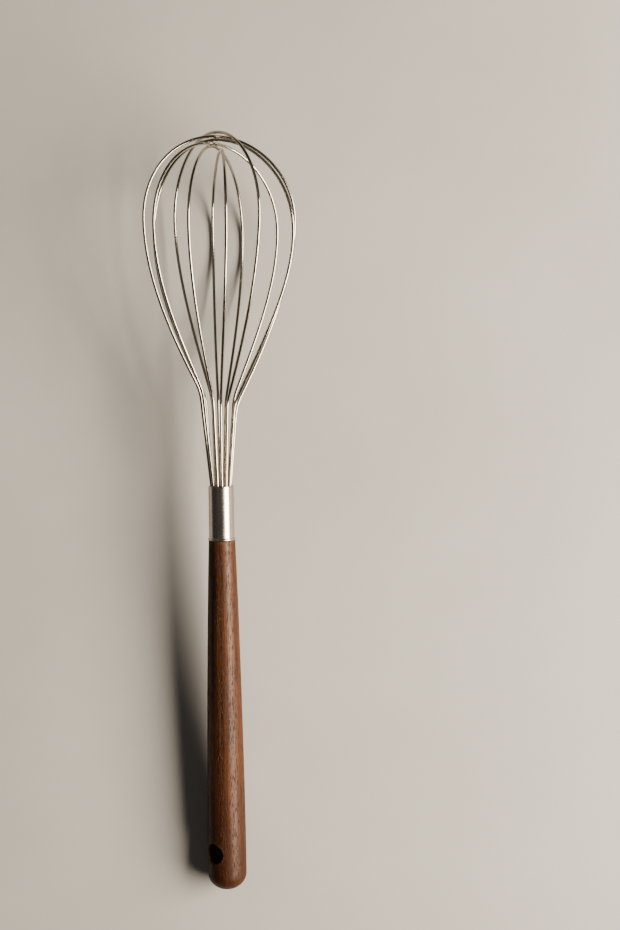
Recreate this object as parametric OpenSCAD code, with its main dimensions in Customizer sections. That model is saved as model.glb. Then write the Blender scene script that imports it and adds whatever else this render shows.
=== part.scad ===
// Balloon whisk: six bent wire loops, a steel ferrule and a turned wooden handle.
// It lies at rest as on a table: Z = 0 is the table, +Y runs from the handle to the tip
// and the origin is under the middle of the whole whisk.
// Along the whisk, "station" is the distance from the end of the handle, in millimetres.

/* [Balloon] */
// Overall length, from the end of the handle to the tip of the outermost loop
whisk_len = 300; // [290:1:310]
// Wire diameter
wire_d = 1.2; // [1:0.05:1.2]
// Distance from the whisk's axis to the wire at the widest point
belly_r = 29.9; // [27:0.1:32]
// Length of the rounded crown, from the widest point to the middle of the outermost wire
crown_len = 33.6; // [30:0.2:38]
// How far below the outermost loop each loop crosses the tip
loop_drop = [0, 1.5, 2.8, 4.1, 5.4, 6.8];
// Angle of each loop's plane about the axis, outermost loop first
loop_angles = [53.9, 167.3, 23.2, 138.4, 106.8, 81.5];
// How much wider or narrower each loop was bent
loop_spread = [0.5, -0.4, 0.2, 0.3, -0.3, 0.3];
// How far above or below the common widest point each loop's own one sits
loop_belly = [2.2, 0.6, -4.3, -2.3, -2.5, 0];
// How far each loop is bowed sideways out of its plane at its widest point
loop_bow = [-0.5, 0.6, 1.3, 0.2, -0.5, 0.9];
// How far each loop sits off centre in its plane at its widest point
loop_shift = [-0.2, -1.3, 1.6, -0.3, -1.4, 0.1];
// How far each loop's tip leans to the right
loop_lean = [-1, 0, -0.8, -1.4, -0.4, 2.9];
// How far each loop's two bends sit above the common bend station
loop_bends = [[-0.5, 0.2], [3.9, -2.2], [-1.5, 0.9], [3.7, 0.8], [0.1, -0.5], [-1.8, 0.7]];
// How much further out than the common bend radius they are
loop_neck = [[-0.4, -1], [-0.5, 1.6], [1, -0.4], [0.1, 0.6], [0.7, 1.1], [-0.5, 0.2]];

/* [Neck] */
// Station of the bend where the neck opens into the balloon
bend_at = 196.5; // [194:0.5:199]
// Distance from the axis to the wire at that bend
bend_r = 6.1; // [5.5:0.1:7]
// Angle at which the wires leave the bend
bend_angle = 27; // [24:0.5:30]
// Distance from the axis to the wires in the mouth of the ferrule
mouth_r = 3.72; // [3.68:0.01:3.75]
// Distance from the axis to the wire ends inside the handle
bundle_r = 2.95; // [2.93:0.01:2.97]

/* [Ferrule] */
// Station of the ferrule's mouth
mouth_at = 163; // [162:0.5:165]
// Outer diameter at the mouth
ferrule_d1 = 10; // [9.6:0.1:10]
// Outer diameter at the wood
ferrule_d2 = 10; // [9.9:0.1:10.3]
// Inner diameter of the tube
ferrule_id = 8.8; // [8.78:0.01:8.9]
// Diameter of the rolled lip at the wood
lip_d = 10.9; // [10.5:0.1:11.5]
// Thickness of the rolled lip along the whisk
lip_t = 0.9; // [0.7:0.1:1.2]

/* [Handle] */
// Length of the wooden grip that shows
grip_len = 141.5; // [138:0.5:142]
// Diameter of the grip at the ferrule
grip_d1 = 10.4; // [10:0.1:11]
// Largest diameter, near the end
grip_d2 = 15.4; // [14:0.1:17]
// Length of the rounded end
dome_len = 6.5; // [4:0.5:8]
// Length of the tenon inside the ferrule
tenon_len = 8; // [7:0.5:8]
// Diameter of the tenon
tenon_d = 8.7; // [8.6:0.01:8.74]
// Diameter of the blind bore for the wire ends
socket_d = 7.3; // [7.3:0.05:7.5]
// Depth of that bore, from the face of the tenon
socket_depth = 24; // [22:0.5:28]
// Diameter of the hanging hole
hole_d = 8.3; // [6:0.1:9]
// Station of the hanging hole
hole_at = 16; // [13:0.5:20]
// Angle of the hanging hole about the axis, from upright
hole_roll = 43; // [0:1:90]

/* [Inner pieces] */
// Station of the front of the spacer plug, set back from the mouth
plug_back = 0.8; // [0.5:0.1:1.5]
// Thickness of the spacer plug
plug_t = 4; // [3:0.5:4]
// Wall of the binding band round the wire ends
band_wall = 0.4; // [0.3:0.05:0.5]
// Length of the binding band
band_len = 3; // [2:0.5:3]
// Clearance left between pieces
gap = 0.05; // [0.03:0.01:0.06]

/* [Hidden] */
$fn = 96;

wire_r = wire_d / 2;
sides = 8;                          // faces round each wire
tip_mid = whisk_len - wire_r;       // middle of the outermost wire at the tip
belly_at = tip_mid - crown_len;     // station of the widest point
tenon_at = grip_len + tenon_len;    // station of the tenon's face
socket_end = tenon_at - socket_depth;
wire_end = socket_end + 3;          // station of the wire ends
band_at = tenon_at + 0.5;
spread_from = band_at + band_len + 0.3;       // the legs open out from the bundle here
spread_to = mouth_at - plug_back - plug_t - 0.3;  // and are straight again here
bend_round = 3.6;                   // length of wire used up by each half of the bend

// ---------- one leg of a loop, as [distance from the axis, station] ----------

function lerp(a, b, t) = a + (b - a) * t;
function ease(t) = t * t * (3 - 2 * t);
function quad(a, b, c, t) = (1-t)*(1-t)*a + 2*t*(1-t)*b + t*t*c;
function cubic(a, b, c, d, t) =
    pow(1-t, 3)*a + 3*t*pow(1-t, 2)*b + 3*t*t*(1-t)*c + pow(t, 3)*d;

// Leg of loop k, from its end in the handle up to the widest point
function leg(k, side) =
    let (lift = loop_bends[k][side],
         belly = [belly_r + loop_spread[k], belly_at + loop_belly[k]],
         flare = [sin(bend_angle), cos(bend_angle)],
         bend = [bend_r + loop_neck[k][side], bend_at] + lift / cos(bend_angle) * flare,
         root = [mouth_r, mouth_at - 0.5],
         rise = (bend - root) / norm(bend - root),
         open_at = bend + bend_round * flare)
    concat(
        [[bundle_r, wire_end], [bundle_r, spread_from]],
        [for (i = [1:5]) let (t = i / 6)
            [lerp(bundle_r, mouth_r, ease(t)), lerp(spread_from, spread_to, t)]],
        [[mouth_r, spread_to]],
        [for (i = [0:3]) quad([mouth_r, mouth_at - 2], root, root + 1.5 * rise, i / 3)],
        [for (i = [0:5]) quad(bend - bend_round * rise, bend, open_at, i / 5)],
        [for (i = [1:13]) cubic(open_at, open_at + 24 * flare,
            belly - [0, 20.5], belly, i / 13)]
    );

// Crown of loop k, from one widest point over the tip to the other
function crown(k) =
    let (r_belly = belly_r + loop_spread[k], low = belly_at + loop_belly[k],
         top = tip_mid - loop_drop[k] - low)
    [for (i = [1:25]) let (a = i * 180 / 26)
        [r_belly * cos(a), low + top * sin(a)]];

// Whole loop, with the second leg on the other side of the axis
function loop_path(k) =
    let (a = leg(k, 0), b = leg(k, 1), n = len(b))
    concat(a, crown(k), [for (i = [n-1:-1:0]) [-b[i][0], b[i][1]]]);

// Where a point of loop k lies about the axis, with its bow, shift and lean, as [across, station, up]
function place(k, p) =
    let (open = pow(max(0, abs(p[0]) - mouth_r) / (belly_r - mouth_r), 2),
         near_tip = pow(max(0, p[1] - belly_at) / crown_len, 2),
         r = p[0] + open * loop_shift[k], off = open * loop_bow[k], a = loop_angles[k])
    [r * cos(a) + off * sin(a) + near_tip * loop_lean[k], p[1], r * sin(a) - off * cos(a)];

// ---------- how the whisk lies ----------

// Outline of the grip, as [distance from the axis, station]
function grip_outline() = concat(
    [for (i = [0:12]) let (a = i * 90 / 12)
        [grip_d2/2 * sin(a), dome_len * (1 - cos(a))]],
    [for (i = [0:24]) cubic([grip_d2/2, 14], [grip_d2/2 - 0.1, 45],
        [grip_d1/2 + 1.2, grip_len - 31], [grip_d1/2, grip_len], i / 24)]
);

// The underside of the balloon is the two lowest legs, those of loops 5 and 6
underside = [for (k = [4, 5]) for (p = leg(k, 1)) if (p[1] > 220)
    [wire_r - place(k, [-p[0], p[1]])[2], p[1]]];
function lowest(outline, pitch) =
    min([for (p = outline) p[1] * sin(pitch) - p[0] * cos(pitch)]);
// Tilt at which the grip and the balloon touch the table together
function find_pitch(lo, hi, n) =
    let (m = (lo + hi) / 2)
    n == 0 ? m :
    lowest(underside, m) > lowest(grip_outline(), m)
        ? find_pitch(lo, m, n - 1) : find_pitch(m, hi, n - 1);

rest_pitch = find_pitch(0, 12, 30);
rest_height = -lowest(grip_outline(), rest_pitch);
near_y = min([for (p = grip_outline()) p[1] * cos(rest_pitch) - p[0] * sin(rest_pitch)]);
far_y = max([for (k = [0:2]) for (p = crown(k)) let (q = place(k, p))
    q[1] * cos(rest_pitch) - q[2] * sin(rest_pitch)]) + wire_r;
wires_x = [for (k = [0:5]) for (p = loop_path(k)) place(k, p)[0]];
mid_x = (min(wires_x) + max(wires_x)) / 2;

// Lays a piece down in its rest position
module laid() {
    translate([-mid_x, -(near_y + far_y) / 2, rest_height])
        rotate([rest_pitch, 0, 0]) children();
}

// Stands a turned piece along the whisk, so that its height becomes its station
module turned() {
    laid() rotate([-90, 0, 0]) children();
}

// One place for each of the twelve wire legs, in a turned piece
module at_legs(r) {
    for (a = loop_angles) for (s = [0, 180])
        rotate([0, 0, -(a + s)]) translate([r, 0, 0]) children();
}

// ---------- pieces ----------

// Turned grip with its tenon, the blind bore for the wires and the hanging hole
module handle() {
    color([0.33, 0.20, 0.13]) turned() difference() {
        rotate_extrude() polygon(concat(
            grip_outline(),
            [[tenon_d/2, grip_len], [tenon_d/2, tenon_at - 0.4],
             [tenon_d/2 - 0.3, tenon_at], [0, tenon_at]]));
        translate([0, 0, socket_end]) cylinder(d = socket_d, h = socket_depth + 1);
        // drill point at the bottom of the bore
        translate([0, 0, socket_end - 1.6])
            cylinder(d1 = 0.4, d2 = socket_d, h = 1.6001);
        translate([0, 0, hole_at]) rotate([0, 0, -hole_roll]) rotate([90, 0, 0])
            cylinder(d = hole_d, h = grip_d2 + 10, center = true);
    }
}

// Steel tube over the tenon, with a rolled lip against the wood
module ferrule() {
    low = grip_len + gap;
    color([0.72, 0.72, 0.70]) turned() rotate_extrude() polygon([
        [ferrule_id/2, low],
        [lip_d/2 - 0.3, low],
        [lip_d/2 - 0.08, low + 0.12],
        [lip_d/2, low + 0.32],
        [lip_d/2, low + lip_t - 0.32],
        [lip_d/2 - 0.08, low + lip_t - 0.12],
        [lip_d/2 - 0.3, low + lip_t],
        [ferrule_d2/2, low + lip_t + 0.05],
        [ferrule_d1/2, mouth_at - 0.15],
        [ferrule_d1/2 - 0.15, mouth_at],
        [ferrule_id/2, mouth_at]]);
}

// One bent wire: a round section carried along the loop's path, which all but lies in one plane
module wire_loop(k) {
    path = [for (p = loop_path(k)) place(k, p)];
    n = len(path);
    flat = [-sin(loop_angles[k]), 0, cos(loop_angles[k])];
    rings = [for (i = [0:n-1])
        let (d = path[min(i + 1, n - 1)] - path[max(i - 1, 0)],
             t = d / norm(d),
             aside = cross(t, flat),
             across = aside / norm(aside),
             over = cross(across, t))
        for (j = [0:sides-1])
            path[i] + wire_r * (cos(j * 360 / sides) * across + sin(j * 360 / sides) * over)];
    skin = [for (i = [0:n-2]) for (j = [0:sides-1])
        let (a = i * sides + j, b = i * sides + (j + 1) % sides)
        each [[a, b, b + sides], [a, b + sides, a + sides]]];
    ends = [[for (j = [sides-1:-1:0]) j],
            [for (j = [0:sides-1]) (n - 1) * sides + j]];
    color([0.78, 0.78, 0.77]) laid()
        polyhedron(points = rings, faces = concat(skin, ends), convexity = 8);
}

module wire_loop_1() wire_loop(0);
module wire_loop_2() wire_loop(1);
module wire_loop_3() wire_loop(2);
module wire_loop_4() wire_loop(3);
module wire_loop_5() wire_loop(4);
module wire_loop_6() wire_loop(5);

// Fluted plug that holds the twelve legs in a ring against the ferrule
module spacer_plug() {
    low = mouth_at - plug_back - plug_t;
    color([0.55, 0.55, 0.54]) turned() difference() {
        rotate_extrude() polygon(concat(
            [[0, low], [ferrule_id/2 - 0.1, low], [ferrule_id/2 - 0.1, low + plug_t - 0.6]],
            [for (i = [1:8]) let (a = i * 90 / 8)
                [(ferrule_id/2 - 0.1) * cos(a), low + plug_t - 0.6 + 0.6 * sin(a)]]));
        at_legs(mouth_r) translate([0, 0, low - 1])
            cylinder(r = wire_r + gap, h = plug_t + 3, $fn = 32);
    }
}

// Steel band crimped round the bundle of wire ends
module binding_band() {
    color([0.6, 0.6, 0.58]) turned() translate([0, 0, band_at]) difference() {
        cylinder(r = bundle_r + wire_r + gap + band_wall, h = band_len);
        translate([0, 0, -1]) cylinder(r = bundle_r + wire_r + gap, h = band_len + 2);
    }
}

// Resin cast round the wire ends in the bore of the handle
module potting_resin() {
    color([0.75, 0.66, 0.42]) turned() difference() {
        translate([0, 0, socket_end + 0.3])
            cylinder(r = socket_d/2 - 0.02, h = socket_depth - 1.3);
        at_legs(bundle_r) translate([0, 0, wire_end - 0.1])
            cylinder(r = wire_r + 0.02, h = socket_depth, $fn = 32);
    }
}

handle();
ferrule();
wire_loop_1();
wire_loop_2();
wire_loop_3();
wire_loop_4();
wire_loop_5();
wire_loop_6();
spacer_plug();
binding_band();
potting_resin();
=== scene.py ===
import math

import bpy
import numpy as np
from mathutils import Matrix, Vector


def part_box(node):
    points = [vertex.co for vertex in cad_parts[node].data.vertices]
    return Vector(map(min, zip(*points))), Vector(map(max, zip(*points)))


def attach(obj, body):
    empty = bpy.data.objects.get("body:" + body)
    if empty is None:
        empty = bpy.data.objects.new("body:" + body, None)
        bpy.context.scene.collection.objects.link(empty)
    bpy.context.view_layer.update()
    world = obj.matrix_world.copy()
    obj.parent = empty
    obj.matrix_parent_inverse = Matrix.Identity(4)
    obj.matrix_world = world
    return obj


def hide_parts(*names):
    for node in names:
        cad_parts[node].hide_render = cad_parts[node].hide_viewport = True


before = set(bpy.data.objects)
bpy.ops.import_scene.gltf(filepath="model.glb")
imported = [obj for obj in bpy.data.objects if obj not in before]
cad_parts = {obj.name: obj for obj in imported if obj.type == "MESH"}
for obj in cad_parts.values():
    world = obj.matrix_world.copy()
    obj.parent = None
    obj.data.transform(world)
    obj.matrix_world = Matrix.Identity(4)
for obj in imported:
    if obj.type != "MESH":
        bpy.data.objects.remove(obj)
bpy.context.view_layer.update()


# ---------------------------------------------------------------- design sizes
# These repeat the driving dimensions of the CAD model, in millimetres. A "station"
# is the distance along the whisk from the end of the handle.

WHISK_LEN, WIRE_R = 300.0, 0.6
BELLY_R, CROWN_LEN = 29.9, 33.6
LOOP_DROP = [0, 1.5, 2.8, 4.1, 5.4, 6.8]
LOOP_ANGLES = [53.9, 167.3, 23.2, 138.4, 106.8, 81.5]
LOOP_SPREAD = [0.5, -0.4, 0.2, 0.3, -0.3, 0.3]
LOOP_BELLY = [2.2, 0.6, -4.3, -2.3, -2.5, 0]
LOOP_BOW = [-0.5, 0.6, 1.3, 0.2, -0.5, 0.9]
LOOP_SHIFT = [-0.2, -1.3, 1.6, -0.3, -1.4, 0.1]
LOOP_LEAN = [-1, 0, -0.8, -1.4, -0.4, 2.9]
LOOP_BENDS = [[-0.5, 0.2], [3.9, -2.2], [-1.5, 0.9], [3.7, 0.8], [0.1, -0.5], [-1.8, 0.7]]
LOOP_NECK = [[-0.4, -1], [-0.5, 1.6], [1, -0.4], [0.1, 0.6], [0.7, 1.1], [-0.5, 0.2]]
BEND_AT, BEND_R, BEND_ANGLE, BEND_ROUND = 196.5, 6.1, math.radians(27), 3.6
MOUTH_R, BUNDLE_R = 3.72, 2.95
MOUTH_AT, FERRULE_R1, FERRULE_R2, FERRULE_IR = 163.0, 5.0, 5.0, 4.4
LIP_R, LIP_T = 5.45, 0.9
GRIP_LEN, GRIP_R1, GRIP_R2, DOME_LEN = 141.5, 5.2, 7.7, 6.5
TENON_LEN, TENON_R, SOCKET_R, SOCKET_DEPTH = 8.0, 4.35, 3.65, 24.0
HOLE_R, HOLE_AT, HOLE_ROLL = 4.15, 16.0, math.radians(43)
PLUG_BACK, PLUG_T, GAP = 0.8, 4.0, 0.05

TIP_MID = WHISK_LEN - WIRE_R
BELLY_AT = TIP_MID - CROWN_LEN
TENON_AT = GRIP_LEN + TENON_LEN
SOCKET_END = TENON_AT - SOCKET_DEPTH
WIRE_END = SOCKET_END + 3
SPREAD_FROM = TENON_AT + 0.5 + 3 + 0.3
SPREAD_TO = MOUTH_AT - PLUG_BACK - PLUG_T - 0.3


# ---------------------------------------------------------------- wire paths

def cubic(a, b, c, d, t):
    a, b, c, d = (np.array(p, float) for p in (a, b, c, d))
    t = np.asarray(t, float)[:, None]
    return (1 - t) ** 3 * a + 3 * t * (1 - t) ** 2 * b + 3 * t * t * (1 - t) * c + t ** 3 * d


def quad(a, b, c, t):
    a, b, c = (np.array(p, float) for p in (a, b, c))
    t = np.asarray(t, float)[:, None]
    return (1 - t) ** 2 * a + 2 * t * (1 - t) * b + t * t * c


def leg(k, side, fine=8):
    """One leg of loop k as (distance from the axis, station) points, from its end in the handle to the belly."""
    lift = LOOP_BENDS[k][side]
    belly = np.array([BELLY_R + LOOP_SPREAD[k], BELLY_AT + LOOP_BELLY[k]])
    flare = np.array([math.sin(BEND_ANGLE), math.cos(BEND_ANGLE)])
    bend = np.array([BEND_R + LOOP_NECK[k][side], BEND_AT]) + lift / math.cos(BEND_ANGLE) * flare
    root = np.array([MOUTH_R, MOUTH_AT - 0.5])
    rise = (bend - root) / np.linalg.norm(bend - root)
    open_at = bend + BEND_ROUND * flare
    t = np.arange(1, 6 * fine) / (6 * fine)
    s_curve = np.stack([BUNDLE_R + (MOUTH_R - BUNDLE_R) * t * t * (3 - 2 * t),
                        SPREAD_FROM + (SPREAD_TO - SPREAD_FROM) * t], 1)
    return np.concatenate([
        [[BUNDLE_R, WIRE_END], [BUNDLE_R, SPREAD_FROM]],
        s_curve,
        [[MOUTH_R, SPREAD_TO]],
        quad([MOUTH_R, MOUTH_AT - 2], root, root + 1.5 * rise, np.linspace(0, 1, 3 * fine)),
        quad(bend - BEND_ROUND * rise, bend, open_at, np.linspace(0, 1, 5 * fine)),
        cubic(open_at, open_at + 24 * flare, belly - [0, 20.5], belly,
              np.arange(1, 13 * fine + 1) / (13 * fine)),
    ])


def crown(k, fine):
    """The crown of loop k, from one widest point over the tip to the other."""
    low = BELLY_AT + LOOP_BELLY[k]
    a = np.pi * np.arange(1, 26 * fine) / (26 * fine)
    return np.stack([(BELLY_R + LOOP_SPREAD[k]) * np.cos(a), low + (TIP_MID - LOOP_DROP[k] - low) * np.sin(a)], 1)


def place(k, p):
    """Points of loop k about the axis, with its bow, shift and lean, as (across, station, up)."""
    th = math.radians(LOOP_ANGLES[k])
    spread = (np.maximum(0, np.abs(p[:, 0]) - MOUTH_R) / (BELLY_R - MOUTH_R)) ** 2
    near_tip = (np.maximum(0, p[:, 1] - BELLY_AT) / CROWN_LEN) ** 2
    r, off = p[:, 0] + spread * LOOP_SHIFT[k], spread * LOOP_BOW[k]
    return np.stack([r * math.cos(th) + off * math.sin(th) + near_tip * LOOP_LEAN[k], p[:, 1],
                     r * math.sin(th) - off * math.cos(th)], 1)


def loop_path(k, spacing=0.8, fine=8):
    """The whole loop as evenly spaced 3-D points in whisk coordinates, and its own plane's outward direction."""
    up, down = leg(k, 0, fine), leg(k, 1, fine)[::-1] * [-1, 1]
    flat = np.concatenate([up, crown(k, fine), down])
    step = np.r_[0, np.cumsum(np.linalg.norm(np.diff(flat, axis=0), axis=1))]
    n = int(round(step[-1] / spacing))
    at = np.linspace(0, step[-1], n + 1)
    flat = np.stack([np.interp(at, step, flat[:, 0]), np.interp(at, step, flat[:, 1])], 1)
    free = np.clip((flat[1:-1, 1:] - MOUTH_AT) / 4, 0, 1)    # inside the ferrule the path stays exact
    for _ in range(3):                     # the bends of a real wire have no corners
        flat[1:-1] += free * (0.25 * flat[:-2] - 0.5 * flat[1:-1] + 0.25 * flat[2:])
    th = math.radians(LOOP_ANGLES[k])
    return place(k, flat), np.array([math.sin(th), 0, -math.cos(th)]), at


# ---------------------------------------------------------------- how the whisk lies

def grip_outline(n_dome=12, n_side=24):
    a = np.linspace(0, np.pi / 2, n_dome + 1)
    dome = np.stack([GRIP_R2 * np.sin(a), DOME_LEN * (1 - np.cos(a))], 1)
    body = cubic([GRIP_R2, 14], [GRIP_R2 - 0.1, 45], [GRIP_R1 + 1.2, GRIP_LEN - 31], [GRIP_R1, GRIP_LEN],
                 np.linspace(0, 1, n_side + 1))
    return np.concatenate([dome, body])


def rest_pose():
    """Pitch and height at which the grip and the balloon's underside touch the table together."""
    grip = grip_outline()
    under = []
    for k in (4, 5):
        p = leg(k, 1, 1)
        p = place(k, p[p[:, 1] > 220] * [-1, 1])
        under.append(np.stack([WIRE_R - p[:, 2], p[:, 1]], 1))
    under = np.concatenate(under)

    def lowest(o, pitch):
        return (o[:, 1] * math.sin(pitch) - o[:, 0] * math.cos(pitch)).min()

    lo, hi = 0.0, math.radians(12)
    for _ in range(30):
        m = (lo + hi) / 2
        lo, hi = (lo, m) if lowest(under, m) > lowest(grip, m) else (m, hi)
    pitch = (lo + hi) / 2
    near = (grip[:, 1] * math.cos(pitch) - grip[:, 0] * math.sin(pitch)).min()
    across, far = [], -1e9
    for k in range(6):
        q = place(k, np.concatenate([leg(k, 0, 1), crown(k, 1), leg(k, 1, 1) * [-1, 1]]))
        across += [q[:, 0].min(), q[:, 0].max()]
        far = max(far, (q[:, 1] * math.cos(pitch) - q[:, 2] * math.sin(pitch)).max())
    return (pitch, -lowest(grip, pitch), -(near + far + WIRE_R) / 2, -(min(across) + max(across)) / 2)


PITCH, REST_Z, REST_Y, REST_X = rest_pose()
CP, SP = math.cos(PITCH), math.sin(PITCH)


def laid(p):
    """Whisk coordinates in millimetres (x, station, z) to the row frame in metres."""
    p = np.asarray(p, float)
    return np.stack([p[..., 0] + REST_X,
                     p[..., 1] * CP - p[..., 2] * SP + REST_Y,
                     p[..., 1] * SP + p[..., 2] * CP + REST_Z], -1) / 1000


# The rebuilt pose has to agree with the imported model's own boxes.
for _node, _p in (("handle", [0, 0, 0]), ("wire_loop_1", [0, WHISK_LEN, 0])):
    _lo, _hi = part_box(_node)
    _q = laid(_p)
    if not (_lo.y - 0.0015 < _q[1] < _hi.y + 0.0015 and _lo.z - 0.0015 < _q[2] < _hi.z + 0.0015):
        raise RuntimeError(f"the looks are out of step with the packed {_node}: {_q}, {_lo}, {_hi}")


# ---------------------------------------------------------------- mesh helpers

def make_piece(name, points_mm, faces, material, replaced, attributes=None, sharp_deg=None):
    """A smooth-shaded mesh piece, baked in the row frame, that rides on the rigid body."""
    me = bpy.data.meshes.new(name)
    me.from_pydata(laid(points_mm).tolist(), [], [list(map(int, f)) for f in faces])
    me.update()
    me.polygons.foreach_set("use_smooth", [True] * len(me.polygons))
    for key, values in (attributes or {}).items():
        values = np.asarray(values, np.float32)
        if values.ndim == 1:
            me.attributes.new(key, "FLOAT", "POINT").data.foreach_set("value", values)
        else:
            me.attributes.new(key, "FLOAT_VECTOR", "POINT").data.foreach_set("vector", values.ravel())
    if sharp_deg:
        me.set_sharp_from_angle(angle=math.radians(sharp_deg))
    o = bpy.data.objects.new(name, me)
    bpy.context.scene.collection.objects.link(o)
    me.materials.append(material)
    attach(o, "root")
    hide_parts(*replaced)
    return o


def ring_strip(a, b, n):
    """Quads between two rings of n vertices that start at index a and b."""
    return [(a + i, a + (i + 1) % n, b + (i + 1) % n, b + i) for i in range(n)]


def revolve(profile, n, closed=True):
    """Points and quads of a profile of (radius, station) turned about the axis. The outer side runs towards +station."""
    profile = np.asarray(profile, float)
    ang = 2 * np.pi * np.arange(n) / n
    pts = np.stack([profile[:, None, 0] * np.sin(ang), np.broadcast_to(profile[:, None, 1], (len(profile), n)),
                    profile[:, None, 0] * np.cos(ang)], -1).reshape(-1, 3)
    faces = []
    m = len(profile)
    for j in range(m if closed else m - 1):
        faces += ring_strip(j * n, ((j + 1) % m) * n, n)
    return pts, faces


def fillet(corner, before, after, radius, n=5):
    """Points of an arc that rounds a profile's corner, between the points before and after it."""
    c, p, q = (np.array(v, float) for v in (corner, before, after))
    d0, d1 = (p - c) / np.linalg.norm(p - c), (q - c) / np.linalg.norm(q - c)
    half = math.acos(max(-1, min(1, float(d0 @ d1)))) / 2
    cut = radius / math.tan(half)
    start, end = c + d0 * cut, c + d1 * cut
    centre = c + (d0 + d1) / np.linalg.norm(d0 + d1) * radius / math.sin(half)
    a0 = math.atan2(*(start - centre)[::-1])
    a1 = math.atan2(*(end - centre)[::-1])
    turn = (a1 - a0 + math.pi) % (2 * math.pi) - math.pi
    return [list(centre + radius * np.array([math.cos(a0 + turn * i / n), math.sin(a0 + turn * i / n)]))
            for i in range(n + 1)]


def rounded(profile, radii, n=5):
    """A closed profile with the corner at each index rounded by its radius."""
    m, out = len(profile), []
    for i, (p, r) in enumerate(zip(profile, radii)):
        out += [list(p)] if not r else fillet(p, profile[i - 1], profile[(i + 1) % m], r, n)
    return out


def thicken_rows(profile, longest):
    """Adds points along the long straight stretches of a profile."""
    out = []
    for i, p in enumerate(profile):
        q = profile[(i + 1) % len(profile)]
        d = math.dist(p, q)
        parts = max(1, int(math.ceil(d / longest)))
        out += [[p[0] + (q[0] - p[0]) * j / parts, p[1] + (q[1] - p[1]) * j / parts] for j in range(parts)]
    return out


# ---------------------------------------------------------------- materials

class Nodes:
    """A small helper for building a material's node tree."""

    def __init__(self, name):
        self.mat = bpy.data.materials.new(name)
        self.mat.use_nodes = True
        self.tree = self.mat.node_tree
        self.tree.nodes.clear()
        self.out = self.add("ShaderNodeOutputMaterial")
        self.bsdf = self.add("ShaderNodeBsdfPrincipled")
        self.link(self.bsdf.outputs[0], self.out.inputs["Surface"])

    def add(self, kind, **props):
        n = self.tree.nodes.new(kind)
        for k, v in props.items():
            setattr(n, k, v)
        return n

    def link(self, a, b):
        self.tree.links.new(a, b)

    def put(self, value, socket):
        if isinstance(value, bpy.types.NodeSocket):
            self.link(value, socket)
        else:
            socket.default_value = value

    def math(self, op, a, b=0.0, clamp=False):
        n = self.add("ShaderNodeMath", operation=op, use_clamp=clamp)
        self.put(a, n.inputs[0])
        self.put(b, n.inputs[1])
        return n.outputs[0]

    def noise(self, vector, scale, detail=3.0, rough=0.5, distortion=0.0):
        n = self.add("ShaderNodeTexNoise")
        self.put(vector, n.inputs["Vector"])
        n.inputs["Scale"].default_value = scale
        n.inputs["Detail"].default_value = detail
        n.inputs["Roughness"].default_value = rough
        n.inputs["Distortion"].default_value = distortion
        return n.outputs["Fac"]

    def stretch(self, vector, scale, location=(0, 0, 0), rotation=(0, 0, 0)):
        n = self.add("ShaderNodeMapping")
        self.put(vector, n.inputs["Vector"])
        n.inputs["Scale"].default_value = scale
        n.inputs["Location"].default_value = location
        n.inputs["Rotation"].default_value = rotation
        return n.outputs[0]

    def ramp(self, fac, stops, mode="LINEAR"):
        n = self.add("ShaderNodeValToRGB")
        n.color_ramp.interpolation = mode
        while len(n.color_ramp.elements) < len(stops):
            n.color_ramp.elements.new(0.5)
        for e, (at, c) in zip(n.color_ramp.elements, stops):
            e.position = at
            e.color = (*c, 1) if len(c) == 3 else c
        self.put(fac, n.inputs[0])
        return n.outputs[0]

    def span(self, value, lo, hi, to_lo=0.0, to_hi=1.0, smooth=False):
        n = self.add("ShaderNodeMapRange")
        if smooth:
            n.interpolation_type = "SMOOTHSTEP"
        self.put(value, n.inputs["Value"])
        n.inputs["From Min"].default_value = lo
        n.inputs["From Max"].default_value = hi
        n.inputs["To Min"].default_value = to_lo
        n.inputs["To Max"].default_value = to_hi
        return n.outputs["Result"]

    def mix(self, fac, a, b, blend="MIX"):
        n = self.add("ShaderNodeMix", data_type="RGBA", blend_type=blend)
        self.put(fac, n.inputs["Factor"])
        self.put((*a, 1) if isinstance(a, tuple) and len(a) == 3 else a, n.inputs["A"])
        self.put((*b, 1) if isinstance(b, tuple) and len(b) == 3 else b, n.inputs["B"])
        return n.outputs["Result"]

    def bump(self, height, strength, distance, normal=None):
        n = self.add("ShaderNodeBump")
        n.inputs["Strength"].default_value = strength
        n.inputs["Distance"].default_value = distance
        self.link(height, n.inputs["Height"])
        if normal is not None:
            self.link(normal, n.inputs["Normal"])
        return n.outputs[0]

    def whisk_mm(self):
        """The surface point in millimetres, with Y along the whisk."""
        t = self.add("ShaderNodeTexCoord")
        return self.stretch(t.outputs["Object"], (1000, 1000, 1000), rotation=(-PITCH, 0, 0))

    def attribute(self, name, socket="Fac"):
        n = self.add("ShaderNodeAttribute", attribute_name=name, attribute_type="GEOMETRY")
        return n.outputs[socket]


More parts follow.
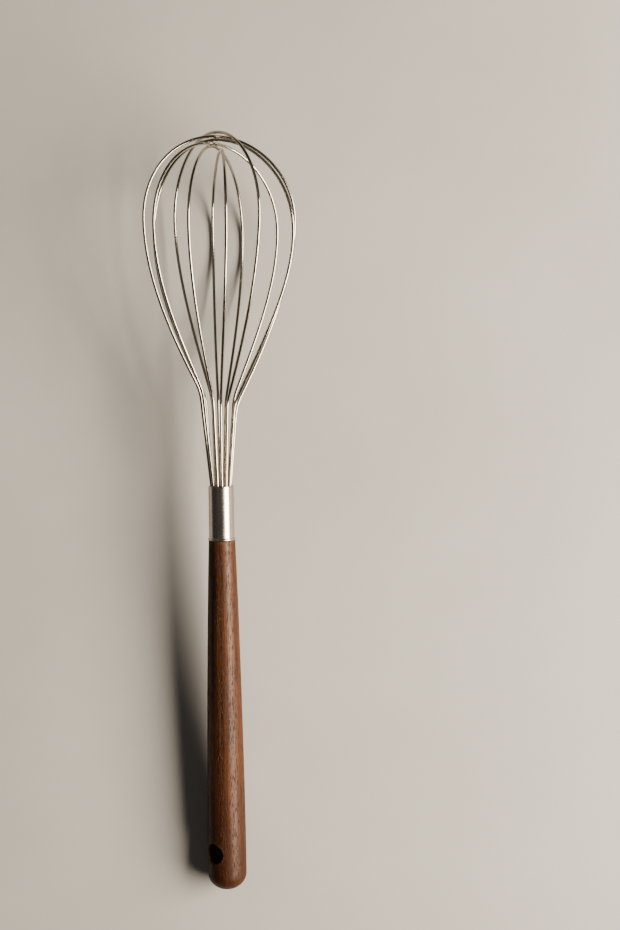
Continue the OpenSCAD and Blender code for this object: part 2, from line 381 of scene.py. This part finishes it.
def walnut():
    m = Nodes("walnut_oiled")
    p = m.whisk_mm()
    # The board's growth rings run along the grip, a little askew and wandering.
    wander = m.noise(m.stretch(p, (0.05, 0.011, 0.05), location=(3.1, 0.4, 7.7)), 1.0, 2.0)
    drift = m.stretch(p, (1, 1, 1), rotation=(0.012, math.radians(24), -0.010))
    sep = m.add("ShaderNodeSeparateXYZ")
    m.link(drift, sep.inputs[0])
    across = m.math("ADD", sep.outputs["X"], m.math("MULTIPLY", wander, 11.0))
    rings = m.add("ShaderNodeCombineXYZ")
    m.link(across, rings.inputs["X"])
    ring_noise = m.noise(m.stretch(rings.outputs[0], (0.42, 0, 0), location=(1.7, 0, 0)), 1.0, 3.0, 0.6)
    broad = m.noise(m.stretch(p, (0.16, 0.018, 0.16), location=(5, 2, 1)), 1.0, 2.0)
    streak = m.noise(m.stretch(p, (1.35, 0.030, 1.35), location=(0, 4, 9)), 1.0, 4.0, 0.55, 0.15)
    fibre = m.noise(m.stretch(p, (6.0, 0.11, 6.0)), 1.0, 3.0, 0.6, 0.1)
    # Open pores: short dark flecks, 0.2 to 0.4 mm wide and a few millimetres long.
    pore_a = m.noise(m.stretch(p, (3.3, 0.23, 3.3), location=(2, 0, 5)), 1.0, 1.5, 0.5, 0.2)
    pore_b = m.noise(m.stretch(p, (5.2, 0.40, 5.2), location=(8, 3, 2)), 1.0, 1.5, 0.5, 0.1)
    pores = m.math("MAXIMUM", m.span(pore_a, 0.600, 0.665, smooth=True),
                   m.span(pore_b, 0.595, 0.660, 0.0, 0.85, smooth=True))
    tone = m.math("ADD", m.math("MULTIPLY", ring_noise, 0.50), m.math("MULTIPLY", streak, 0.34))
    tone = m.math("ADD", tone, m.math("MULTIPLY", broad, 0.22))
    tone = m.math("ADD", tone, m.math("MULTIPLY", fibre, 0.14))
    colour = m.ramp(m.span(tone, 0.42, 0.80), [
        (0.0, (0.019, 0.0062, 0.0021)), (0.30, (0.050, 0.0165, 0.0050)),
        (0.55, (0.098, 0.0340, 0.0105)), (0.80, (0.156, 0.0590, 0.0195)), (1.0, (0.222, 0.0930, 0.0350))])
    # Some streaks are redder, as in real heartwood.
    red = m.noise(m.stretch(p, (0.55, 0.014, 0.55), location=(9, 1, 4)), 1.0, 2.0)
    colour = m.mix(m.span(red, 0.50, 0.72, 0.0, 0.35), colour, (0.135, 0.043, 0.015))
    # Handling has darkened the butt end.
    end = m.add("ShaderNodeSeparateXYZ")
    m.link(p, end.inputs[0])
    colour = m.mix(m.span(end.outputs["Y"], -152, -84, 0.72, 0.0, smooth=True), colour, (0.044, 0.0118, 0.0030))
    colour = m.mix(m.math("MULTIPLY", pores, 0.80), colour, (0.014, 0.0060, 0.0035))
    # Hand wear: the rims of the hole and the shoulder are rubbed lighter, in patches.
    rub = m.math("MULTIPLY", m.attribute("wear"), m.span(m.noise(p, 0.9, 3.0), 0.35, 0.65))
    colour = m.mix(m.math("MULTIPLY", rub, 0.22), colour, (0.26, 0.130, 0.066))
    # Painted shade: the walls inside the hole and the socket are darkened towards near-black, standing in for the shade
    # in these recesses.
    colour = m.mix(m.math("MULTIPLY", m.attribute("inside"), 0.6), colour, (0.026, 0.013, 0.008))
    m.link(colour, m.bsdf.inputs["Base Color"])
    rough = m.math("ADD", m.span(streak, 0.3, 0.7, 0.39, 0.50), m.math("MULTIPLY", pores, 0.25))
    rough = m.math("ADD", rough, m.math("MULTIPLY", m.attribute("inside"), 0.3), clamp=True)
    m.link(rough, m.bsdf.inputs["Roughness"])
    m.bsdf.inputs["Specular IOR Level"].default_value = 0.40
    m.bsdf.inputs["IOR"].default_value = 1.5
    m.bsdf.inputs["Coat Weight"].default_value = 0.03
    m.bsdf.inputs["Coat Roughness"].default_value = 0.36
    m.bsdf.inputs["Coat IOR"].default_value = 1.48
    h = m.math("SUBTRACT", m.math("MULTIPLY", fibre, 0.35), pores)
    h = m.math("ADD", h, m.math("MULTIPLY", streak, 0.25))
    first = m.bump(h, 0.65, 0.00008)
    # Faint long flats left by the sanding block.
    second = m.bump(m.noise(m.stretch(p, (0.30, 0.03, 0.30)), 1.0, 1.0), 0.35, 0.00022, first)
    m.link(second, m.bsdf.inputs["Normal"])
    return m.mat


def brushed(name, base, rough_lo, rough_hi, scale_along, depth, smudge=0.06):
    """Turned or brushed steel: fine lines round the axis, faint smudges and scratches."""
    m = Nodes(name)
    p = m.whisk_mm()
    lines = m.noise(m.stretch(p, (0.5, scale_along, 0.5)), 1.0, 4.0, 0.65)
    fine = m.noise(m.stretch(p, (1.2, scale_along * 3.1, 1.2), location=(4, 1, 2)), 1.0, 2.0, 0.6)
    smear = m.noise(m.stretch(p, (0.35, 0.22, 0.35), location=(1, 6, 3)), 1.0, 3.0, 0.55, 0.4)
    scratch = m.noise(m.stretch(p, (5.0, 0.5, 5.0), rotation=(0.35, 0.1, 0.5)), 1.0, 2.0, 0.5, 0.8)
    scratches = m.span(scratch, 0.68, 0.74, smooth=True)
    colour = m.mix(m.span(lines, 0.3, 0.7), tuple(c * 0.94 for c in base), base)
    colour = m.mix(m.span(smear, 0.45, 0.75, 0.0, 0.35), colour, tuple(c * f for c, f in zip(base, (0.86, 0.83, 0.78))))
    colour = m.mix(m.math("MULTIPLY", scratches, 0.3), colour, tuple(min(1, c * 1.2) for c in base))
    m.link(colour, m.bsdf.inputs["Base Color"])
    m.bsdf.inputs["Metallic"].default_value = 1.0
    rough = m.math("ADD", m.span(lines, 0.3, 0.7, rough_lo, rough_hi), m.span(smear, 0.4, 0.7, 0.0, smudge))
    rough = m.math("ADD", rough, m.math("MULTIPLY", scratches, 0.08), clamp=True)
    m.link(rough, m.bsdf.inputs["Roughness"])
    h = m.math("ADD", lines, m.math("MULTIPLY", fine, 0.5))
    h = m.math("SUBTRACT", h, m.math("MULTIPLY", scratches, 0.25))
    m.link(m.bump(h, 0.30, depth), m.bsdf.inputs["Normal"])
    return m.mat


def drawn_wire():
    """Polished stainless wire with the faint lengthwise lines of the drawing die and some dull patches."""
    m = Nodes("wire_polished_steel")
    p = m.attribute("wirepos", "Vector")
    die = m.noise(m.stretch(p, (5.5, 5.5, 0.05)), 1.0, 3.0, 0.6)
    dull = m.noise(m.stretch(p, (0.25, 0.25, 0.06), location=(3, 1, 8)), 1.0, 3.0, 0.55)
    nick = m.noise(m.stretch(p, (2.5, 2.5, 1.6), location=(7, 7, 0)), 1.0, 1.0)
    nicks = m.span(nick, 0.70, 0.76, smooth=True)
    colour = m.mix(m.span(dull, 0.35, 0.70), (0.52, 0.485, 0.43), (0.42, 0.385, 0.33))
    colour = m.mix(m.math("MULTIPLY", nicks, 0.5), colour, (0.45, 0.43, 0.40))
    m.link(colour, m.bsdf.inputs["Base Color"])
    m.bsdf.inputs["Metallic"].default_value = 1.0
    rough = m.math("ADD", m.span(die, 0.3, 0.7, 0.10, 0.15), m.span(dull, 0.4, 0.7, 0.0, 0.06))
    rough = m.math("ADD", rough, m.math("MULTIPLY", nicks, 0.1), clamp=True)
    m.link(rough, m.bsdf.inputs["Roughness"])
    h = m.math("SUBTRACT", die, m.math("MULTIPLY", nicks, 0.6))
    m.link(m.bump(h, 0.25, 0.000012), m.bsdf.inputs["Normal"])
    return m.mat


def cast_resin():
    """Amber casting resin with cloudy patches and small bubbles."""
    m = Nodes("resin_cast")
    p = m.whisk_mm()
    cloud = m.noise(p, 0.45, 4.0, 0.6, 0.3)
    v = m.add("ShaderNodeTexVoronoi")
    m.link(p, v.inputs["Vector"])
    v.inputs["Scale"].default_value = 1.7
    bubbles = m.span(v.outputs["Distance"], 0.10, 0.20, 1.0, 0.0, smooth=True)
    colour = m.ramp(m.span(cloud, 0.3, 0.7), [(0.0, (0.30, 0.19, 0.07)), (1.0, (0.52, 0.38, 0.17))])
    colour = m.mix(m.math("MULTIPLY", bubbles, 0.6), colour, (0.70, 0.60, 0.40))
    m.link(colour, m.bsdf.inputs["Base Color"])
    m.link(m.span(cloud, 0.3, 0.7, 0.14, 0.26), m.bsdf.inputs["Roughness"])
    m.link(m.bump(m.math("ADD", bubbles, m.math("MULTIPLY", cloud, 0.4)), 0.4, 0.00005), m.bsdf.inputs["Normal"])
    return m.mat


WALNUT = walnut()
FERRULE = brushed("ferrule_satin_steel", (0.60, 0.555, 0.495), 0.21, 0.27, 9.0, 0.000005, 0.04)
PLUG = brushed("plug_machined_steel", (0.45, 0.445, 0.43), 0.32, 0.44, 5.0, 0.000020)
BAND = brushed("band_crimped_steel", (0.52, 0.51, 0.49), 0.28, 0.38, 3.0, 0.000020)
WIRE = drawn_wire()
RESIN = cast_resin()


# ---------------------------------------------------------------- handle

def build_handle():
    """Turned grip, tenon and blind bore in one all-quad skin, with the hanging hole's rounded rims."""
    N = 144                                # vertices round the grip
    HALF = N // 8                          # half the width of the patch round the hole, 45 degrees
    RIM = 0.22                             # how far the hole's rim is rounded over
    hole_dir = np.array([-math.sin(HOLE_ROLL), 0, math.cos(HOLE_ROLL)])
    side_dir = np.array([math.cos(HOLE_ROLL), 0, math.sin(HOLE_ROLL)])

    outline = grip_outline(400, 4000)
    outline = outline[np.r_[True, np.diff(outline[:, 1]) > 1e-9]]

    def radius(s):
        return np.interp(s, outline[:, 1], outline[:, 0])

    # Rows of the skin as (radius, station), from the pole of the rounded end to the drill point.
    a = np.linspace(0, np.pi / 2, 27)[1:]
    rows = [[GRIP_R2 * math.sin(t), DOME_LEN * (1 - math.cos(t))] for t in a]
    for s in np.linspace(DOME_LEN, HOLE_AT - 6, 7)[1:]:
        rows.append([float(radius(s)), s])
    j0 = len(rows) - 1
    cells = 2 * HALF
    for s in np.linspace(HOLE_AT - 6, HOLE_AT + 6, cells + 1)[1:]:
        rows.append([float(radius(s)), s])
    j1 = len(rows) - 1
    for s in np.linspace(HOLE_AT + 6, GRIP_LEN - 0.22, 118)[1:]:
        rows.append([float(radius(s)), s])
    rows += fillet([GRIP_R1, GRIP_LEN], [float(radius(GRIP_LEN - 1)), GRIP_LEN - 1], [TENON_R, GRIP_LEN], 0.2, 6)
    rows += [[TENON_R + 0.02, GRIP_LEN], [TENON_R, GRIP_LEN + 0.05]]
    for s in np.linspace(GRIP_LEN + 1, TENON_AT - 0.4, 6):
        rows.append([TENON_R, s])
    rows += [[TENON_R - 0.3, TENON_AT], [SOCKET_R + 0.05, TENON_AT], [SOCKET_R, TENON_AT - 0.05]]
    inside_from = len(rows)
    for s in np.linspace(TENON_AT - 1, SOCKET_END, 16):
        rows.append([SOCKET_R, s])
    rows += [[SOCKET_R * 0.66, SOCKET_END - 0.54], [SOCKET_R * 0.33, SOCKET_END - 1.07]]

    rows = np.array(rows)
    psi = 2 * np.pi * np.arange(N) / N
    ring = np.cos(psi)[:, None] * hole_dir + np.sin(psi)[:, None] * side_dir

    # The inside mask marks the walls of the hole and the socket; the walnut paints shade there and makes them rougher.
    pts, wear, inside = [], [], []
    index = -np.ones((len(rows), N), int)

    def hidden(i, j):                      # strictly inside one of the two patches
        if not j0 < j < j1:
            return False
        d = min(i % N, N - i % N)
        e = abs(i - N // 2)
        return d < HALF or e < HALF

    for j, (r, s) in enumerate(rows):
        for i in range(N):
            if hidden(i, j):
                continue
            index[j, i] = len(pts)
            pts.append(r * ring[i] + np.array([0, s, 0]))
            w = max(0.0, 1 - abs(s - GRIP_LEN) / 0.9) if s > 120 and r > GRIP_R1 - 0.3 else 0.0
            wear.append(w)
            inside.append(1.0 if j >= inside_from else 0.0)
    faces = []
    for j in range(len(rows) - 1):
        for i in range(N):
            q = (index[j, i], index[j, (i + 1) % N], index[j + 1, (i + 1) % N], index[j + 1, i])
            if min(q) < 0:
                continue
            if j0 <= j < j1:
                mid = i + 0.5
                if min(mid % N, N - mid % N) < HALF or abs(mid - N / 2) < HALF:
                    continue
            faces.append(q)
    pole = len(pts)
    pts.append(np.array([0, 0.0, 0])); wear.append(0.0); inside.append(0.0)
    faces += [(pole, index[0, (i + 1) % N], index[0, i]) for i in range(N)]
    deep = len(pts)
    pts.append(np.array([0, SOCKET_END - 1.6, 0])); wear.append(0.0); inside.append(1.0)
    last = len(rows) - 1
    faces += [(index[last, i], index[last, (i + 1) % N], deep) for i in range(N)]

    # Patch round one mouth of the hole, counter-clockwise as seen from outside.
    loop = [(-HALF + c, j0) for c in range(cells)] + [(HALF, j0 + c) for c in range(cells)] \
        + [(HALF - c, j1) for c in range(cells)] + [(-HALF, j1 - c) for c in range(cells)]
    n = len(loop)
    edge_u = np.array([rows[j][0] * math.sin(2 * np.pi * i / N) for i, j in loop])
    edge_v = np.array([rows[j][1] - HOLE_AT for i, j in loop])
    alpha = np.arctan2(edge_v, edge_u)
    # Even the rim's points out a little between the patch's corners.
    even = np.unwrap(alpha)
    flat = even[0] + 2 * np.pi * np.arange(n) / n
    alpha = 0.55 * even + 0.45 * flat
    cu, cv = np.cos(alpha), np.sin(alpha)

    def height(d, cu=cu, cv=cv):
        return np.sqrt(np.maximum(radius(HOLE_AT + d * cv) ** 2 - (d * cu) ** 2, 0))

    dc = HOLE_R + RIM
    d_grid = np.linspace(HOLE_R * 0.98, HOLE_R + 3 * RIM, 500)
    curve = np.stack([height(d) for d in d_grid], 1)          # n by 500

    def nearest(hc):
        dist = (d_grid[None] - dc) ** 2 + (curve - hc[:, None]) ** 2
        b = np.clip(dist.argmin(1), 1, len(d_grid) - 2)
        r0, r1, r2 = (dist[np.arange(n), b + e] for e in (-1, 0, 1))
        shift = 0.5 * (r0 - r2) / (r0 - 2 * r1 + r2 + 1e-15)
        d = d_grid[b] + shift * (d_grid[1] - d_grid[0])
        return d, np.sqrt((d - dc) ** 2 + (height(d) - hc) ** 2)

    lo, hi = height(dc) - 4 * RIM, height(dc)
    for _ in range(45):
        mid = (lo + hi) / 2
        far = nearest(mid)[1] > RIM
        lo, hi = np.where(far, mid, lo), np.where(far, hi, mid)
    hc = (lo + hi) / 2
    d_tan, _ = nearest(hc)
    h_tan = height(d_tan)
    beta0 = np.arctan2(h_tan - hc, d_tan - dc)

    strips = []                            # each is (u, v, h, wear, inside) on the upper mouth
    M = 9
    for m_ in range(1, M + 1):
        f = m_ / M
        f = f ** 0.85
        u = (1 - f) * edge_u + f * d_tan * cu
        v = (1 - f) * edge_v + f * d_tan * cv
        h = np.sqrt(radius(HOLE_AT + v) ** 2 - u ** 2)
        strips.append((u, v, h, np.full(n, max(0.0, f * 2.6 - 1.6)), np.zeros(n)))
    for m_ in range(1, 9):
        beta = beta0 + (np.pi - beta0) * m_ / 8
        d = dc + RIM * np.cos(beta)
        strips.append((d * cu, d * cv, hc + RIM * np.sin(beta),
                       np.full(n, 1.0 if m_ < 5 else max(0.0, 1.8 - m_ * 0.2)), np.full(n, max(0.0, (m_ - 5) / 6))))
    wall = 14
    for m_ in range(1, wall):
        t = m_ / wall
        strips.append((HOLE_R * cu, HOLE_R * cv, hc * (1 - t), np.zeros(n), np.full(n, min(1.0, 0.5 + 0.08 * m_))))
    down = [(u, v, -h, w, ins) for u, v, h, w, ins in reversed(strips)]
    middle = (HOLE_R * cu, HOLE_R * cv, np.zeros(n), np.zeros(n), np.ones(n))
    strips = strips + [middle] + down

    start = [index[j, i % N] for i, j in loop]
    end = [index[j, (N // 2 - i) % N] for i, j in loop]
    previous = start
    for u, v, h, w, ins in strips:
        here = list(range(len(pts), len(pts) + n))
        p = u[:, None] * side_dir + (HOLE_AT + v)[:, None] * np.array([0, 1.0, 0]) + h[:, None] * hole_dir
        pts += list(p)
        wear += list(w)
        inside += list(ins)
        faces += [(previous[k], previous[(k + 1) % n], here[(k + 1) % n], here[k]) for k in range(n)]
        previous = here
    faces += [(previous[k], previous[(k + 1) % n], end[(k + 1) % n], end[k]) for k in range(n)]
    return make_piece("handle_turned", np.array(pts), faces, WALNUT, ["handle"],
                      {"wear": wear, "inside": inside}, sharp_deg=40)


handle = build_handle()


# ---------------------------------------------------------------- ferrule

def build_ferrule():
    """Tube with a rolled lip against the wood and an eased mouth."""
    low = GRIP_LEN + GAP
    corners = [
        [FERRULE_IR, low], [LIP_R, low], [LIP_R, low + LIP_T], [FERRULE_R2 + 0.02, low + LIP_T],
        [FERRULE_R1, MOUTH_AT], [FERRULE_IR, MOUTH_AT]]
    radii = [0.05, 0.34, 0.34, 0.10, 0.16, 0.30]
    profile = thicken_rows(rounded(corners, radii, 7), 0.8)
    pts, faces = revolve(profile, 160)
    return make_piece("ferrule_tube", pts, faces, FERRULE, ["ferrule"], sharp_deg=50)


ferrule = build_ferrule()


# ---------------------------------------------------------------- wires

def build_wire(k):
    """A round section carried along the loop, with eased ends."""
    S = 20
    pts, side, along = loop_path(k)
    t = np.gradient(pts, axis=0)
    t /= np.linalg.norm(t, axis=1)[:, None]
    across = np.cross(t, side)
    across /= np.linalg.norm(across, axis=1)[:, None]
    flat = np.cross(across, t)
    ang = 2 * np.pi * np.arange(S) / S
    r = np.full(len(pts), WIRE_R)
    ring = np.cos(ang)[None, :, None] * across[:, None] + np.sin(ang)[None, :, None] * flat[:, None]
    body = pts[:, None] + r[:, None, None] * ring
    # Eased cut ends: one smaller ring and a flat cap at each end.
    first = [pts[0] + 0.80 * WIRE_R * ring[0] - 0.0 * t[0]]
    body[0] = pts[0] + WIRE_R * ring[0] + 0.12 * t[0]
    lastr = [pts[-1] + 0.80 * WIRE_R * ring[-1]]
    body[-1] = pts[-1] + WIRE_R * ring[-1] - 0.12 * t[-1]
    rings = np.concatenate([first, body, lastr])
    m = len(rings)
    verts = rings.reshape(-1, 3)
    where = np.stack([np.broadcast_to(np.cos(ang) * WIRE_R, (m, S)), np.broadcast_to(np.sin(ang) * WIRE_R, (m, S)),
                      np.broadcast_to(np.r_[along[0], along, along[-1]][:, None] + 500.0 * k, (m, S))], -1).reshape(-1, 3)
    faces = []
    for j in range(m - 1):
        faces += ring_strip(j * S, (j + 1) * S, S)
    faces.append(tuple(reversed(range(S))))
    faces.append(tuple(range((m - 1) * S, m * S)))
    # Point the skin outwards.
    a, b, c = verts[faces[0][0]], verts[faces[0][1]], verts[faces[0][3]]
    if np.dot(np.cross(b - a, c - a), ring[0][0] + ring[0][1]) < 0:
        faces = [tuple(reversed(f)) for f in faces]
    return make_piece(f"wire_bent_{k + 1}", verts, faces, WIRE, [f"wire_loop_{k + 1}"],
                      {"wirepos": where}, sharp_deg=50)


wires = [build_wire(k) for k in range(6)]


# The three pieces held inside keep their CAD shape, with their own finish.
for node, mat in (("spacer_plug", PLUG), ("binding_band", BAND), ("potting_resin", RESIN)):
    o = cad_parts[node]
    o.data.materials.clear()
    o.data.materials.append(mat)


# ---------------------------------------------------------------- floor, light and camera

def build_floor():
    """A plain pale sweep, far larger than the whisk."""
    size, steps = 3.0, 24
    g = np.linspace(-size, size, steps + 1)
    verts = [(x, y, 0.0) for y in g for x in g]
    faces = [(j * (steps + 1) + i, j * (steps + 1) + i + 1, (j + 1) * (steps + 1) + i + 1, (j + 1) * (steps + 1) + i)
             for j in range(steps) for i in range(steps)]
    me = bpy.data.meshes.new("floor")
    me.from_pydata(verts, [], faces)
    me.update()
    o = bpy.data.objects.new("floor", me)
    bpy.context.scene.collection.objects.link(o)
    m = Nodes("floor_pale")
    t = m.add("ShaderNodeTexCoord")
    soft = m.noise(m.stretch(t.outputs["Object"], (9, 9, 9)), 1.0, 4.0, 0.55)
    grain = m.noise(m.stretch(t.outputs["Object"], (900, 900, 900)), 1.0, 2.0, 0.6)
    colour = m.mix(m.span(soft, 0.35, 0.65), (0.490, 0.472, 0.443), (0.530, 0.512, 0.483))
    m.link(colour, m.bsdf.inputs["Base Color"])
    m.bsdf.inputs["Roughness"].default_value = 0.85
    m.bsdf.inputs["Specular IOR Level"].default_value = 0.25
    m.link(m.bump(grain, 0.15, 0.0002), m.bsdf.inputs["Normal"])
    me.materials.append(m.mat)
    return o


floor = build_floor()


def area_light(name, place, aim, width, height, power, colour):
    from mathutils import Vector
    d = bpy.data.lights.new(name, "AREA")
    d.shape, d.size, d.size_y = "RECTANGLE", width, height
    d.energy, d.color = power, colour
    o = bpy.data.objects.new(name, d)
    bpy.context.scene.collection.objects.link(o)
    o.location = place
    o.rotation_euler = (Vector(aim) - Vector(place)).to_track_quat("-Z", "Y").to_euler()
    return o


world = bpy.data.worlds.new("studio")
bpy.context.scene.world = world
bpy.context.scene.view_settings.view_transform = "AgX"
bpy.context.scene.view_settings.look = "AgX - Medium High Contrast"
world.use_nodes = True
world.node_tree.nodes["Background"].inputs["Color"].default_value = (1.0, 0.955, 0.90, 1)
world.node_tree.nodes["Background"].inputs["Strength"].default_value = 0.06

# A tall softbox on the right, a little towards the tip, and a weak fill high on the left.
area_light("key_softbox", (0.745, -0.09, 0.55), (0.0, 0.0, 0.01), 0.85, 0.54, 23.5, (1.0, 0.905, 0.785))
area_light("fill_softbox", (-0.7, 0.6, 1.3), (0.0, 0.0, 0.0), 1.4, 1.4, 1.0, (1.0, 0.97, 0.95))

cam = bpy.data.cameras.new("camera")
cam.lens = 54.18
cam.sensor_width = 36.0
cam.clip_start, cam.clip_end = 0.05, 20.0
camera = bpy.data.objects.new("camera", cam)
bpy.context.scene.collection.objects.link(camera)
camera.location = (0.03367, 0.02066, 0.57155)
camera.rotation_euler = (0, 0, -0.01104)
bpy.context.scene.camera = camera
